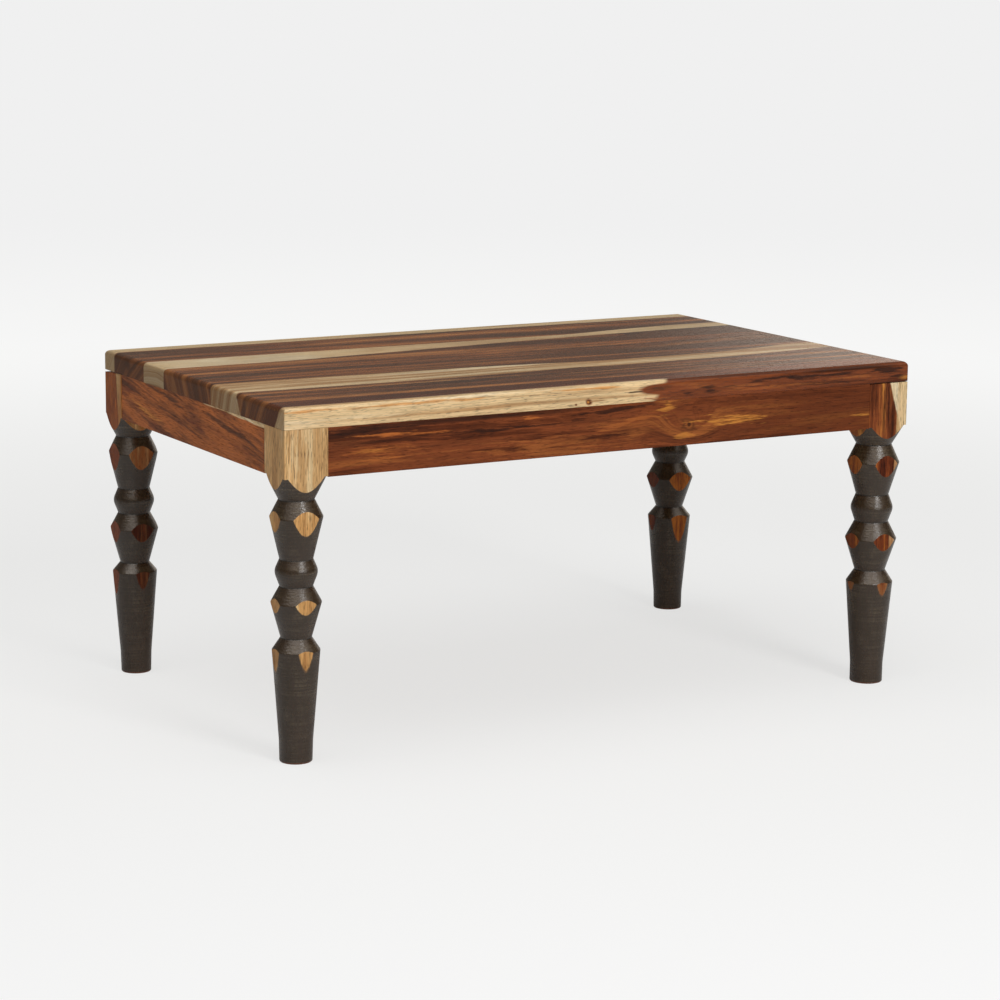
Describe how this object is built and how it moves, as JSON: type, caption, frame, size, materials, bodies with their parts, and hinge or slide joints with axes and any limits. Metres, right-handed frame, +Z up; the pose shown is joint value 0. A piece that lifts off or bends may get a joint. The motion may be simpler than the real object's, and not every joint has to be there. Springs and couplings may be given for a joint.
{
  "type": "low table",
  "caption": "Rectangular low wooden table: edge-glued plank top flush with square leg blocks, plain apron rails and turned, tapering legs with flat facets.",
  "frame": {"origin": "on the floor under the middle of the top", "axes": "+X along the table to the right, +Y to the rear, +Z up; the front is the long side at -Y"},
  "size_m": [0.66, 0.406, 0.317],
  "materials": {
    "top_board": "satin lacquered sheesham heartwood",
    "top_board_pale": "satin lacquered sheesham sapwood",
    "leg": "turned sheesham stained dark, its flats left natural",
    "rail": "satin lacquered sheesham heartwood",
    "corner_block": "bare planed hardwood",
    "top_button": "bare planed hardwood",
    "screw": "zinc plated"
  },
  "bodies": {
    "root": {"top_board_rear": "top_board", "top_board_rear_strip": "top_board_pale", "top_board_middle": "top_board", "top_board_front": "top_board", "top_board_front_strip": "top_board", "leg_front_left": "leg", "leg_front_right": "leg", "leg_rear_left": "leg", "leg_rear_right": "leg", "rail_front": "rail", "rail_rear": "rail", "rail_left": "rail", "rail_right": "rail", "corner_block_front_left": "corner_block", "corner_block_front_right": "corner_block", "corner_block_rear_left": "corner_block", "corner_block_rear_right": "corner_block", "top_button_front_left": "top_button", "top_button_front_right": "top_button", "top_button_rear_left": "top_button", "top_button_rear_right": "top_button", "top_button_left": "top_button", "top_button_right": "top_button", "button_screws": "screw", "corner_block_screws": "screw"}
  },
  "joints": []
}
